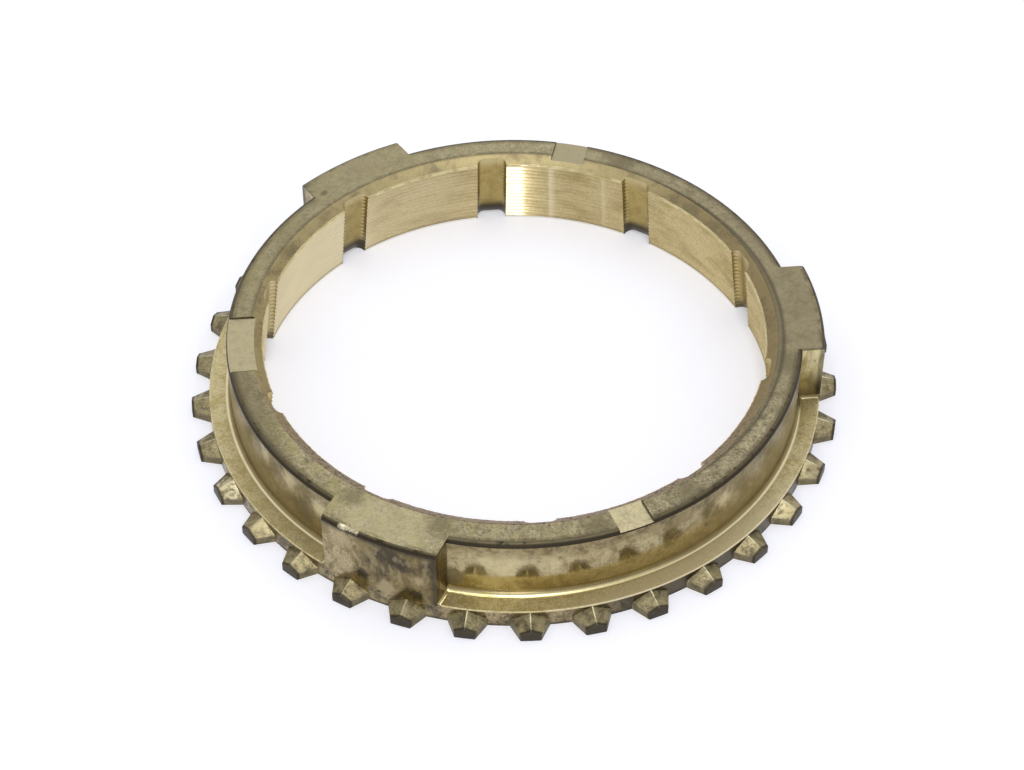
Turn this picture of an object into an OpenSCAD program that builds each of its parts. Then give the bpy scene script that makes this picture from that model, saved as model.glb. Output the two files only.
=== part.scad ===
// Synchronizer ring (blocker ring) of a manual gearbox, forged and turned from brass in one piece.
// It stands on its toothed end with the lugs and the narrow end of the friction cone upwards.
// The axis is Z, the toothed end face is z = 0, and the first lug points along +X. Millimetres.

/* [Friction cone] */
// Diameter of the cone at the toothed end face, the size that the diameters outside it follow
cone_d = 54.1; // [50:0.1:58]
// Half angle of the cone
cone_angle = 7; // [6:0.1:8]
// Radial width of the mouth chamfer at the lug end
mouth_w = 1.15; // [0.6:0.05:1.4]
// Height of the mouth chamfer at the lug end
mouth_h = 0.75; // [0.4:0.05:1.2]

/* [Ring] */
// Height from the toothed end face to the lug end face
ring_h = 9.35; // [8:0.05:12]
// Wall between the wide end of the cone and the collar
wall_t = 2.75; // [2.2:0.05:3.5]
// Width of the shelf, from the collar to the root circle of the teeth and of the lugs
shelf_w = 2.3; // [1.5:0.05:3]
// Height of the shelf that carries the teeth
shelf_h = 2.1; // [1.8:0.05:3]

/* [Teeth] */
// Number of blocking teeth
tooth_count = 33; // [24:3:36]
// Length of a tooth, from the root circle to its tip
tooth_len = 1.9; // [1.4:0.05:2.6]
// Width of a tooth at the root circle
tooth_root_w = 3.98; // [3:0.02:4.2]
// Width of a tooth at its tip
tooth_tip_w = 2.02; // [1.2:0.02:2.6]
// Height of the upright flanks
tooth_flank_h = 0.95; // [0.5:0.05:1.3]
// Drop of the ridge of the pointed roof, at the root circle, below the edge of the shelf
tooth_ridge_drop = 0.06; // [0.04:0.02:0.4]

/* [Lugs] */
// Number of lugs that engage the hub
lug_count = 3; // [2:1:4]
// Width between the parallel sides of a lug
lug_w = 12.3; // [8:0.1:16]

/* [Oil grooves] */
// Number of grooves along the cone
groove_count = 10; // [6:1:12]
// Width of a groove
groove_w = 3.2; // [2:0.1:4]
// Depth of a groove below the cone
groove_depth = 0.8; // [0.4:0.05:1]
// Radius of the corners at the groove's floor
groove_corner_r = 0.75; // [0.1:0.05:0.8]

/* [Marking flats] */
// Width of the flat opposite the first lug
wide_flat_w = 7.8; // [4:0.1:12]
// Depth of that flat below the lug end face
wide_flat_depth = 0.15; // [0.05:0.05:0.5]
// Width of the two flats on either side of the first lug
narrow_flat_w = 3.6; // [2:0.1:6]
// Depth of those flats below the lug end face
narrow_flat_depth = 0.3; // [0.05:0.05:0.5]
// Angle of the narrow flats from the first lug
narrow_flat_angle = 72; // [60:1:80]

/* [Edges] */
// Radius of the outer edge at the lug end
rim_r = 0.5; // [0.1:0.05:0.8]
// Radius of the fillet between collar and shelf
foot_r = 0.6; // [0.1:0.05:0.8]
// Width of the broken edge of the shelf
shelf_break = 0.12; // [0.05:0.01:0.3]
// Width of the broken edge at the wide end of the cone
cone_break = 0.25; // [0.1:0.05:0.5]

/* [Hidden] */
$fn = 96;

brass = "#a2955c";

collar_r = cone_d / 2 + wall_t;
root_r = collar_r + shelf_w;
tip_r = root_r + tooth_len;

// Radius of the friction cone at a height above the toothed end face
function cone_r(z) = cone_d / 2 - z * tan(cone_angle);

mouth_z = ring_h - mouth_h;
mouth_r = cone_r(mouth_z) + mouth_w;

// Height of the ridge of a tooth's roof at the root circle
tooth_ridge_h = shelf_h - shelf_break - tooth_ridge_drop;
// Half width that a tooth loses for each millimetre outwards
flank_slope = (tooth_root_w - tooth_tip_w) / 2 / tooth_len;
// The roof of a tooth falls from the ridge to the flanks, and its ridge falls towards the tip
// at the rate that keeps the upper edges of the flanks level.
roof_fall = (tooth_ridge_h - tooth_flank_h) / (tooth_root_w / 2);
ridge_tilt = atan(roof_fall * flank_slope);

// How far a joined shape reaches into the body that it grows from
sink = 0.3;
// How far a cutter reaches past the face that it cuts
over = 1;

// Half section of the plain ring
module ring_section() {
    difference() {
        union() {
            polygon([
                [cone_r(0) + cone_break, 0],
                [root_r, 0],
                [root_r, shelf_h - shelf_break],
                [root_r - shelf_break, shelf_h],
                [collar_r, shelf_h],
                [collar_r, ring_h],
                [mouth_r, ring_h],
                [cone_r(mouth_z), mouth_z],
                [cone_r(cone_break), cone_break],
            ]);
            foot_fillet();
        }
        rim_corner(collar_r);
    }
}

// Fillet in the corner between the collar and the shelf
module foot_fillet() {
    difference() {
        translate([collar_r - sink, shelf_h - sink]) square(foot_r + sink);
        translate([collar_r + foot_r, shelf_h + foot_r]) circle(foot_r);
    }
}

// What the rim radius takes off the upper outer corner of a wall of radius r
module rim_corner(r) {
    translate([r - rim_r, ring_h - rim_r]) difference() {
        square(rim_r + over);
        circle(rim_r);
    }
}

// Lug along +X: a block with parallel sides, turned to the root diameter
module lug() {
    lug_inner_r = collar_r - rim_r - sink;
    intersection() {
        rotate_extrude() difference() {
            translate([lug_inner_r, shelf_h - sink])
                square([root_r - lug_inner_r, ring_h - shelf_h + sink]);
            rim_corner(root_r);
        }
        translate([0, -lug_w / 2, 0]) cube([tip_r, lug_w, ring_h]);
    }
}

// Outline of a tooth along +X, from just inside the root circle to just past the tip circle
module tooth_plan() {
    inner_r = root_r - sink;
    outer_r = tip_r + sink;
    inner_w = tooth_root_w / 2 + sink * flank_slope;
    outer_w = tooth_tip_w / 2 - sink * flank_slope;
    polygon([[inner_r, -inner_w], [outer_r, -outer_w], [outer_r, outer_w], [inner_r, inner_w]]);
}

// Room below the two roof planes of a tooth along +X
module tooth_roof() {
    reach = tooth_root_w;
    run = tooth_len + 2 * sink + 2 * over;
    translate([root_r, 0, tooth_ridge_h]) rotate([0, ridge_tilt, 0]) translate([-sink - over, 0, 0])
        rotate([90, 0, 90]) linear_extrude(run) polygon([
            [0, 0],
            [reach, -reach * roof_fall * cos(ridge_tilt)],
            [reach, -2 * reach],
            [-reach, -2 * reach],
            [-reach, -reach * roof_fall * cos(ridge_tilt)],
        ]);
}

// Blocking tooth along +X
module tooth() {
    intersection() {
        linear_extrude(shelf_h) tooth_plan();
        tooth_roof();
        cylinder(r = tip_r, h = ring_h);
    }
}

// Cutter of an oil groove along +X, parallel to the wall of the cone
module oil_groove() {
    floor_w = groove_w - 2 * groove_corner_r;
    translate([cone_d / 2, 0, 0]) rotate([0, -cone_angle, 0]) translate([0, 0, -over])
        linear_extrude(ring_h + 2 * over) {
            translate([-groove_w, -groove_w / 2]) square([groove_w + groove_depth - groove_corner_r, groove_w]);
            translate([-groove_w, -floor_w / 2]) square([groove_w + groove_depth, floor_w]);
            for (side = [-1, 1])
                translate([groove_depth - groove_corner_r, side * floor_w / 2]) circle(groove_corner_r);
        }
}

// Cutter of a marking flat along +X, across the whole width of the lug end face
module marking_flat(w, depth) {
    translate([cone_r(ring_h) - over, -w / 2, ring_h - depth])
        cube([root_r, w, depth + over]);
}

module synchronizer_ring() {
    tooth_pitch = 360 / tooth_count;
    groove_pitch = 360 / groove_count;
    color(brass) difference() {
        union() {
            rotate_extrude() ring_section();
            for (i = [0:lug_count - 1]) rotate(i * 360 / lug_count) lug();
            for (i = [0:tooth_count - 1]) rotate((i + 0.5) * tooth_pitch) tooth();
        }
        for (i = [0:groove_count - 1]) rotate((i + 0.5) * groove_pitch) oil_groove();
        rotate(180) marking_flat(wide_flat_w, wide_flat_depth);
        for (side = [-1, 1]) rotate(side * narrow_flat_angle)
            marking_flat(narrow_flat_w, narrow_flat_depth);
    }
}

synchronizer_ring();
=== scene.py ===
"""Looks of a brass synchronizer ring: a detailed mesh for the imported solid, its finishes and a stage."""

import math

import bmesh
import bpy
from bpy.props import FloatProperty, FloatVectorProperty, IntProperty, PointerProperty
from mathutils import Euler, Matrix, Vector, noise


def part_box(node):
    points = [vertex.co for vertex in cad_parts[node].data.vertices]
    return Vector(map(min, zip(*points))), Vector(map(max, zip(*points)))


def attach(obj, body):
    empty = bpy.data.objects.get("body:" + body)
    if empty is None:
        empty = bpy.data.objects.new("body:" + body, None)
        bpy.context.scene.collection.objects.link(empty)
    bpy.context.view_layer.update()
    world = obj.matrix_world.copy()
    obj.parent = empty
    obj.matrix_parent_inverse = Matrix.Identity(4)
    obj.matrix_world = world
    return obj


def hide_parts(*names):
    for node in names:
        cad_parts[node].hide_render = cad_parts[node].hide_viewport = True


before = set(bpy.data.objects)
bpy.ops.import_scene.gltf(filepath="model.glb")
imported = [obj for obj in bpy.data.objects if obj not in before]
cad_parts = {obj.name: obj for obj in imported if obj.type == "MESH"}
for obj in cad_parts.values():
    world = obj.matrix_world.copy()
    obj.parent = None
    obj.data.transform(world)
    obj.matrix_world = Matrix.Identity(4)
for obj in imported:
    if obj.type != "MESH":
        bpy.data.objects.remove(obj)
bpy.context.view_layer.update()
LOW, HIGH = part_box("synchronizer_ring")
MM = 0.001
# Columns of the mesh for each tooth and the gap beside it
COLUMNS_PER_TOOTH = 20
# Bends past which an edge is rounded, and past which it stays sharp in the shading
ROUNDED = math.radians(24)
SHARP = math.radians(32)
# Fresh chips along the edge of a lug: angles in degrees and reach in millimetres, then radius and height
CHIPS = ((-127, 0.8), (-126.5, 1.0), (-125.9, 0.9), (-125.3, 0.7), (-124.7, 0.7), (-123.9, 0.5))
CHIP_R = 31.85
CHIP_Z = 9.2
# Numbers of the finishes on the faces
(FACE, SHELF, SIDE, FOOT, COLLAR, RIM, LUG, TOOTH, RUBBED, ROOT, CONE, MOUTH, GROOVE, FLAT, END) = range(15)

bl_info = {
    "name": "Synchronizer ring",
    "version": (1, 0, 0),
    "blender": (4, 5, 0),
    "location": "View3D > Sidebar > Ring",
    "description": "Builds a brass synchronizer ring with its finishes and a plain stage",
    "category": "Object",
}


def length(name, description, mm):
    """A length property whose default is given in millimetres."""
    return FloatProperty(
        name=name, description=description, default=mm * MM, min=0, precision=5, unit="LENGTH")


def angle(name, description, degrees):
    """An angle property whose default is given in degrees."""
    return FloatProperty(
        name=name, description=description, default=math.radians(degrees), subtype="ANGLE")


def linear(hexed):
    """Linear colour of an sRGB hex value."""
    parts = [int(hexed[i:i + 2], 16) / 255 for i in (1, 3, 5)]
    return tuple(p / 12.92 if p <= 0.04045 else ((p + 0.055) / 1.055) ** 2.4 for p in parts)


def colour(name, description, hexed):
    """A colour property whose default is given as an sRGB hex value."""
    return FloatVectorProperty(
        name=name, description=description, default=linear(hexed), size=3, min=0, max=1, subtype="COLOR")


class RingSizes(bpy.types.PropertyGroup):
    """Sizes of the ring"""

    tip_r: length("Tip radius", "Radius over the tooth tips, from the packed solid", -LOW.x / MM)
    ring_h: length("Height", "Height of the ring, from the packed solid", HIGH.z / MM)
    tooth_len: length("Tooth length", "From the root circle to the tip of a tooth", 1.9)
    shelf_w: length("Shelf width", "From the collar to the root circle", 2.3)
    wall_t: length("Wall", "From the wide end of the cone to the collar", 2.75)
    shelf_h: length("Shelf height", "Height of the shelf that carries the teeth", 2.1)
    shelf_break: length("Shelf edge", "Width of the broken edge of the shelf", 0.12)
    foot_r: length("Foot radius", "Fillet between the shelf and the collar", 0.6)
    rim_r: length("Rim radius", "Rounding of the outer edge at the lug end", 0.5)
    cone_angle: angle("Cone angle", "Half angle of the friction cone", 7)
    cone_break: length("Cone edge", "Width of the broken edge at the wide end of the cone", 0.25)
    mouth_w: length("Mouth width", "Radial width of the mouth chamfer", 1.15)
    mouth_h: length("Mouth height", "Height of the mouth chamfer", 0.75)
    thread_pitch: length("Thread pitch", "Spacing of the fine threads on the cone", 0.54)
    thread_depth: length("Thread depth", "Depth of the fine threads on the cone", 0.15)
    thread_flank: length("Thread flank", "Height of the flank of a thread that faces up", 0.26)
    mouth_edge: length("Mouth edge", "Rounding between the mouth chamfer and the cone", 0.16)
    mouth_burr: length("Mouth burr", "Height of the ragged burr on that edge", 0.05)
    tooth_count: IntProperty(name="Teeth", description="Number of blocking teeth", default=33, min=3)
    tooth_root_w: length("Tooth root", "Width of a tooth at the root circle", 3.98)
    tooth_tip_w: length("Tooth tip", "Width of a tooth at its tip", 2.02)
    tooth_flank_h: length("Tooth flank", "Height of the upright flanks of a tooth", 0.95)
    tooth_drop: length("Ridge drop", "Drop of a tooth's ridge below the edge of the shelf", 0.06)
    tooth_edge: length("Tooth edges", "Rubbed width on each side of a tooth's edges", 0.06)
    lug_count: IntProperty(name="Lugs", description="Number of lugs", default=3, min=1)
    lug_w: length("Lug width", "Width between the parallel sides of a lug", 12.3)
    lug_edge: length("Lug edges", "Rounding of a lug's upright edges", 0.16)
    lug_foot: length("Lug foot", "Fillet between a lug's sides and the shelf", 0.35)
    groove_count: IntProperty(name="Grooves", description="Number of oil grooves", default=10, min=1)
    groove_w: length("Groove width", "Width of an oil groove", 3.2)
    groove_depth: length("Groove depth", "Depth of an oil groove below the cone", 0.8)
    groove_corner: length("Groove corner", "Radius of the corners at a groove's floor", 0.75)
    groove_flare: length("Groove flare", "Extra depth of a groove at the toothed end", 0.45)
    wide_flat_w: length("Wide flat", "Width of the flat opposite the first lug", 7.8)
    wide_flat_depth: length("Wide flat depth", "Depth of the flat opposite the first lug", 0.15)
    narrow_flat_w: length("Narrow flats", "Width of the flats beside the first lug", 3.6)
    narrow_flat_depth: length("Narrow flat depth", "Depth of the flats beside the first lug", 0.3)
    narrow_flat_at: angle("Narrow flats at", "Angle of the narrow flats from the first lug", 72)

    @property
    def root_r(self):
        return self.tip_r - self.tooth_len

    @property
    def collar_r(self):
        return self.root_r - self.shelf_w

    @property
    def mouth_z(self):
        return self.ring_h - self.mouth_h

    @property
    def ridge_h(self):
        return self.shelf_h - self.shelf_break - self.tooth_drop

    @property
    def columns(self):
        return self.tooth_count * COLUMNS_PER_TOOTH

    @property
    def step(self):
        return math.tau / self.columns

    def cone_r(self, z):
        return self.collar_r - self.wall_t - z * math.tan(self.cone_angle)


class RingColours(bpy.types.PropertyGroup):
    """Colours of the brass and of what lies on it"""

    face: colour("Face", "Tarnished lug end face", "#b6ab8b")
    face_green: colour("Face tint", "Olive tint of the lug end face", "#b8ad76")
    face_grey: colour("Face stain", "Grey stains of the lug end face", "#80775c")
    # Also painted as shade at the foot of the grooves and as dark reflections of the teeth on a lug
    soot_and_shade: colour("Soot", "Black dirt in pits, corners and on the tooth tips", "#403a30")
    shelf: colour("Shelf", "Turned brass of the shelf and of the lug sides", "#dccfa4")
    shelf_stain: colour("Shelf stain", "Dull stains of the turned brass", "#c2b27e")
    foot: colour("Foot", "Bright brass of the fillet above the shelf", "#dccfa0")
    collar: colour("Collar", "Burnished wall of the collar", "#b3a57e")
    # Also painted as the dark reflection along the upper part of the collar
    collar_stain_and_shade: colour("Collar stain", "Brown stains of the collar", "#83744f")
    rim: colour("Rim", "Darkened rounding at the lug end", "#40382c")
    lug: colour("Lug", "Pale oxide of the lug walls", "#ab9c78")
    lug_stain: colour("Lug stain", "Brown oxide of the lug walls", "#7b6c46")
    tooth: colour("Tooth", "Dark patina of the teeth", "#a29774")
    # Also painted as contact shade at the foot of the teeth
    tooth_stain_and_shade: colour("Tooth stain", "Blackened places of the teeth", "#6b624d")
    # Also painted as the highlight lines on the ridges of the teeth and along the foot fillet
    rubbed_and_highlight: colour("Rubbed brass", "Bare brass on rubbed edges and chips", "#f0e6c0")
    root: colour("Root wall", "Pinkish wall between the teeth", "#a69672")
    cone: colour("Cone", "Turned brass of the friction cone", "#dccb9c")
    # Pale gold painted as highlights and reflections on the cone, on the shelf and on a tooth
    cone_highlight: colour("Cone, clean", "Cleanest segment of the friction cone", "#f6ebc8")
    cone_stain: colour("Cone stain", "Dull places of the friction cone", "#c0ad7c")
    mouth: colour("Mouth", "Turned chamfer of the mouth", "#aa9b71")
    mouth_stain: colour("Mouth stain", "Dried oil on the mouth chamfer", "#8a7a5b")
    mouth_near: colour("Mouth oxide", "Pinkish oxide on the near side of the mouth chamfer", "#a4937c")
    groove: colour("Groove", "Oil-stained floor of the grooves", "#aa975f")
    groove_stain: colour("Groove stain", "Darker oil in the grooves", "#978450")
    flat: colour("Flats", "Bare coined brass of the marking flats", "#ded2a8")


def arc(centre_r, centre_z, radius, start, end, count):
    """Points of an arc of the half section, its two ends included, angles in degrees."""
    turns = [math.radians(start + (end - start) * i / count) for i in range(count + 1)]
    return [(centre_r + radius * math.cos(t), centre_z + radius * math.sin(t)) for t in turns]


def half_section(s):
    """Rows that features use, by name, and the points of the half section from the root wall's foot."""
    rows = {}
    points = []

    def add(name, *new):
        rows[name] = len(points)
        points.extend(new)

    def on_mouth(part):
        return s.cone_r(s.mouth_z) + s.mouth_w * part, s.mouth_z + s.mouth_h * part

    def on_rim(turns):
        return [p for a, b in zip(turns, turns[1:]) for p in arc(rim_r, rim_z, s.rim_r, a, b, 1)[1:]]

    def rim_turn(depth):
        return math.degrees(math.asin(1 - depth / s.rim_r))

    rim_r = s.collar_r - s.rim_r
    rim_z = s.ring_h - s.rim_r
    ledge = 0.08 * MM
    margin = 0.1 * MM
    narrow = rim_turn(s.narrow_flat_depth)
    wide = rim_turn(s.wide_flat_depth)
    add("root_foot", (s.root_r, 0))
    add("flank_top", (s.root_r, s.tooth_flank_h))
    add("ridge", (s.root_r, s.ridge_h))
    add("shelf_lip", (s.root_r, s.shelf_h - s.shelf_break))
    add("shelf_edge", (s.root_r - s.shelf_break, s.shelf_h))
    add("foot", *arc(s.collar_r + s.foot_r, s.shelf_h + s.foot_r, s.foot_r, 270, 180, 8))
    rows["foot_end"] = len(points) - 1
    add("rim", (s.collar_r, rim_z))
    add("narrow_outer", *on_rim((0, narrow)))
    add("wide_outer", *on_rim((narrow, wide)))
    add("rim_upper", *on_rim((wide, 60, 75, 90)))
    rows["rim_end"] = len(points) - 1
    add("mouth_edge", (on_mouth(1)[0] + ledge, s.ring_h), on_mouth(0.94))
    add("wide_inner", on_mouth(1 - s.wide_flat_depth / s.mouth_h))
    add("groove_lip", on_mouth(0.7))
    add("narrow_inner", on_mouth(1 - s.narrow_flat_depth / s.mouth_h))
    corner = Vector(on_mouth(0))
    upper = Vector(on_mouth(s.mouth_edge / s.mouth_w))
    lower_z = s.mouth_z - s.mouth_edge
    lower = Vector((s.cone_r(lower_z), lower_z))
    add("cone_top", tuple(upper), tuple((upper + 2 * corner + lower) / 4))
    add("thread_top", tuple(lower))
    count = int((lower_z - s.cone_break) / s.thread_pitch)
    for i in range(count):
        crest_z = lower_z - (i + 1) * (lower_z - s.cone_break) / count
        root_z = crest_z + s.thread_flank
        points.append((s.cone_r(root_z) + s.thread_depth, root_z))
        points.append((s.cone_r(crest_z), crest_z))
    points.pop()
    add("cone_end", (s.cone_r(s.cone_break), s.cone_break))
    add("end_inner", (s.cone_r(0) + s.cone_break, 0))
    add("groove_foot", (s.cone_r(0) + s.groove_depth + s.groove_flare + margin, 0))
    return rows, points


class Blank:
    """Turned blank of the ring: a mesh of rows along the half section and columns round the axis."""

    def __init__(self, s):
        self.s = s
        self.names, self.points = half_section(s)
        self.bm = bmesh.new()
        self.row = self.bm.verts.layers.int.new("row")
        self.col = self.bm.verts.layers.int.new("col")
        verts = [self.bm.verts.new((r, 0, z)) for r, z in self.points]
        for i, vert in enumerate(verts):
            vert[self.row] = i
        edges = [self.bm.edges.new((verts[i - 1], verts[i])) for i in range(len(verts))]
        bmesh.ops.spin(
            self.bm, geom=verts + edges, cent=(0, 0, 0), axis=(0, 0, 1), dvec=(0, 0, 0),
            angle=math.tau, steps=s.columns, use_merge=True, use_duplicate=False)
        self.corners = {}
        for vert in self.bm.verts:
            vert[self.col] = round(math.atan2(vert.co.y, vert.co.x) / s.step) % s.columns
            self.corners[vert[self.row], vert[self.col]] = vert
        self.cells = {}
        for face in self.bm.faces:
            rows = sorted({v[self.row] for v in face.verts})
            cols = sorted({v[self.col] for v in face.verts})
            row = rows[0] if rows[1] - rows[0] == 1 else rows[1]
            col = cols[0] if cols[1] - cols[0] == 1 else cols[1]
            self.cells[row, col] = face

    def band(self, first, last, finish):
        """Gives the cells from one named row to another their finish."""
        for (row, _), face in self.cells.items():
            if self.names[first] <= row < self.names[last]:
                face.material_index = finish

    def patch(self, first, last, turn, half_w, r):
        """Rows and columns of a feature between two named rows, centred on an angle."""
        half = math.asin(half_w / r)
        rows = range(self.names[first], self.names[last] + 1)
        cols = range(round((turn - half) / self.s.step), round((turn + half) / self.s.step) + 1)
        return rows, cols

    def old(self, row, col):
        """Corner of the blank at a row and column."""
        return self.corners[row, col % self.s.columns]

    def lift(self, rows, cols, finish):
        """Extrudes the cells of a patch, and returns the new corners by row and column and the faces."""
        count = self.s.columns
        cells = [self.cells[i, j % count] for i in rows[:-1] for j in cols[:-1]]
        new = bmesh.ops.extrude_face_region(self.bm, geom=cells)["geom"]
        bmesh.ops.delete(self.bm, geom=cells, context="FACES")
        verts = [v for v in new if isinstance(v, bmesh.types.BMVert)]
        found = {(v[self.row], v[self.col]): v for v in verts}
        faces = {f for v in verts for f in v.link_faces}
        for face in faces:
            face.material_index = finish
        return {(i, j): found[i, j % count] for i in rows for j in cols}, faces


def on_ring(turn, r, z):
    """Place at an angle in degrees, a radius and a height in millimetres."""
    return Matrix.Rotation(math.radians(turn), 3, "Z") @ Vector((r, 0, z)) * MM


def place(vert, turn, x, y, z):
    """Puts a corner at a place given along, across and above the radius at an angle."""
    vert.co = Matrix.Rotation(turn, 3, "Z") @ Vector((x, y, z))


def spread(cols, j, half_w):
    """Even share of a half width for a column of a patch, negative on its first half."""
    middle = (cols[0] + cols[-1]) / 2
    return (j - middle) / (cols[-1] - middle) * half_w


def on_circle(r, y):
    """Distance along the radius of a point on a circle at an offset across."""
    return math.sqrt(r * r - y * y)


def shape_tooth(blank, turn):
    """Raises a blocking tooth: tapered flanks, and a roof of two planes that fall from a ridge."""
    s = blank.s
    rows, cols = blank.patch("root_foot", "ridge", turn, s.tooth_root_w / 2, s.root_r)
    new, _ = blank.lift(rows, cols, TOOTH)
    fall = (s.ridge_h - s.tooth_flank_h) / (s.tooth_root_w / 2)
    slope = fall * (s.tooth_root_w - s.tooth_tip_w) / 2 / s.tooth_len
    for j in cols:
        root_y = spread(cols, j, s.tooth_root_w / 2)
        tip_y = spread(cols, j, s.tooth_tip_w / 2)
        tip_x = on_circle(s.tip_r, tip_y)
        root_x = on_circle(s.root_r, root_y)
        tip_z = s.ridge_h - fall * abs(tip_y) - slope * (tip_x - s.root_r)
        root_z = s.ridge_h - fall * abs(root_y) - slope * (root_x - s.root_r)
        flank_z = s.tooth_flank_h
        heights = (0, flank_z, max(tip_z, flank_z))
        for i, z in zip(rows, heights):
            place(new[i, j], turn, tip_x, tip_y, z)
        place(blank.old(rows[0], j), turn, root_x, root_y, 0)
        place(blank.old(rows[-1], j), turn, root_x, root_y, max(root_z, flank_z))
        if j in (cols[0], cols[-1]):
            place(blank.old(rows[1], j), turn, root_x, root_y, flank_z)


def shape_lug(blank, turn):
    """Raises a lug with parallel sides out of the collar, turned to the root circle."""
    s = blank.s
    rows, cols = blank.patch("shelf_lip", "rim_end", turn, s.lug_w / 2, s.collar_r)
    new, faces = blank.lift(rows, cols, LUG)
    foot = blank.names["foot_end"]
    low = blank.points[rows[0]][1]
    high = blank.points[foot][1]
    for j in cols:
        y = spread(cols, j, s.lug_w / 2)
        for i in rows:
            r, z = blank.points[i]
            if i <= foot:
                lug_r = s.root_r
                lug_z = low + (high - low) * (i - rows[0]) / (foot - rows[0])
            else:
                lug_r = r + s.root_r - s.collar_r
                lug_z = z
            place(new[i, j], turn, on_circle(lug_r, y), y, lug_z)
            if j in (cols[0], cols[-1]) or i in (rows[0], rows[-1]):
                place(blank.old(i, j), turn, on_circle(r, y), y, z)
    shelf = range(rows[0], foot + 1)
    for k in range(4):
        bend = math.radians(30 * k)
        away = s.lug_w / 2 + s.lug_foot * (1 - math.cos(bend))
        rise = s.lug_foot * (1 - math.sin(bend))
        for j, y in ((cols[0] - k, -away), (cols[-1] + k, away)):
            for i in shelf:
                r, z = blank.points[i]
                place(blank.old(i, j), turn, on_circle(r, y), y, max(z, min(z, s.shelf_h) + rise))
                if k and i < foot:
                    blank.cells[i, (j if y < 0 else j - 1) % s.columns].material_index = FOOT
    side = Vector((-math.sin(turn), math.cos(turn), 0))
    for face in faces:
        face.normal_update()
        if abs(face.normal.dot(side)) > 0.9:
            face.material_index = SIDE
        elif abs(face.normal.z) > 0.98:
            face.material_index = FACE
        elif abs(face.normal.z) > 0.05 and face.calc_center_median().z > s.ring_h - s.rim_r:
            face.material_index = RIM


def shape_groove(blank, turn):
    """Sinks an oil groove into the cone: a flat floor with round corners that runs out in the chamfer."""
    s = blank.s
    rows, cols = blank.patch("groove_lip", "groove_foot", turn, s.groove_w / 2, s.cone_r(0))
    new, _ = blank.lift(rows, cols, GROOVE)
    lean = math.tan(s.cone_angle)
    tip = math.cos(s.cone_angle)
    corner_y = s.groove_w / 2 - s.groove_corner
    names = blank.names
    last = len(cols) - 1
    flare_h = 1.3 * MM
    for j in cols:
        edge = min(j - cols[0], cols[-1] - j)
        side = -1 if (j - cols[0]) * 2 < last else 1
        bend = math.radians(min(22.5 * edge, 90))
        y = side * (corner_y + s.groove_corner * math.cos(bend))
        if edge > 4:
            y = side * corner_y * (last / 2 - edge) / (last / 2 - 4)
        depth = s.groove_depth - s.groove_corner * (1 - math.sin(bend))
        base = s.cone_r(s.mouth_z)
        part = (depth / tip + y * y / (2 * base)) / (s.mouth_w + s.mouth_h * lean)
        for i in rows:
            r, z = blank.points[i]
            if i == names["groove_lip"]:
                z = s.mouth_z + s.mouth_h * part
                r = base + s.mouth_w * part
                place(blank.old(i, j), turn, on_circle(r, y), y, z)
                place(new[i, j], turn, on_circle(r, y), y, z)
                continue
            if i == names["narrow_inner"]:
                z = s.mouth_z + s.mouth_h * part / 2
                r = base + s.mouth_w * part / 2
            if i == names["cone_top"]:
                low = min(s.mouth_edge / s.mouth_w, part / 4)
                z = s.mouth_z + s.mouth_h * low
                r = base + s.mouth_w * low
            new_z = s.cone_break / 2 if i == names["end_inner"] else z
            out = max(0, 1 - new_z / flare_h) ** 2 * s.groove_flare * math.sin(bend)
            x = s.cone_r(new_z) + depth / tip + out
            place(new[i, j], turn, x, y, new_z)
            if i == names["groove_foot"]:
                place(blank.old(i, j), turn, x, y, 0)
            elif edge == 0:
                place(blank.old(i, j), turn, on_circle(r, y), y, z)


def shape_flat(blank, turn, kind, width, depth):
    """Sinks a marking flat into the lug end face, open to the collar and to the mouth."""
    s = blank.s
    middle_r = s.collar_r - s.wall_t / 2
    rows, cols = blank.patch(kind + "_outer", kind + "_inner", turn, width / 2, middle_r)
    new, faces = blank.lift(rows, cols, FLAT)
    for j in cols:
        y = spread(cols, j, width / 2)
        for i in rows:
            r, z = blank.points[i]
            place(new[i, j], turn, on_circle(r, y), y, s.ring_h - depth)
            if j in (cols[0], cols[-1]) or i in (rows[0], rows[-1]):
                place(blank.old(i, j), turn, on_circle(r, y), y, z)
    for face in faces:
        face.normal_update()
        if abs(face.normal.z) < 0.5:
            face.material_index = RIM


def ragged_mouth(blank):
    """Pushes the rounded edge of the mouth in and out by a little, as a burr does."""
    s = blank.s
    first = blank.names["cone_top"]
    for (i, j), vert in blank.corners.items():
        if i in (first, first + 1) and vert.is_valid:
            push = noise.noise(Vector((j * 0.9, 0, 3.7))) * s.mouth_burr
            flat = Vector((vert.co.x, vert.co.y, 0)).normalized()
            vert.co -= flat * push


def chip(bm, centre, reach, depth):
    """Knocks a shallow uneven chip out of an edge."""
    inwards = -Vector((centre.x, centre.y, 0)).normalized() - Vector((0, 0, 1))
    for vert in bm.verts:
        share = 1 - (vert.co - centre).length / reach
        if share > 0:
            rough = max(0, 0.6 + noise.noise(vert.co * 2600))
            vert.co += inwards * depth * min(1, 2 * share) * rough


def round_edges(bm, width, segments, inside, longer=0, clamp=True):
    """Rounds the convex edges whose ends pass a test of radius and height, and returns the new faces."""
    edges = []
    for edge in bm.edges:
        if len(edge.link_faces) == 2 and edge.calc_face_angle_signed() > ROUNDED:
            ends = [(math.hypot(v.co.x, v.co.y), v.co.z) for v in edge.verts]
            if edge.calc_length() > longer and all(inside(r, z) for r, z in ends):
                edges.append(edge)
    made = bmesh.ops.bevel(
        bm, geom=edges, offset=width, offset_type="OFFSET", segments=segments, profile=0.5,
        affect="EDGES", material=-1, clamp_overlap=clamp, loop_slide=True)
    return made["faces"]


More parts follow.
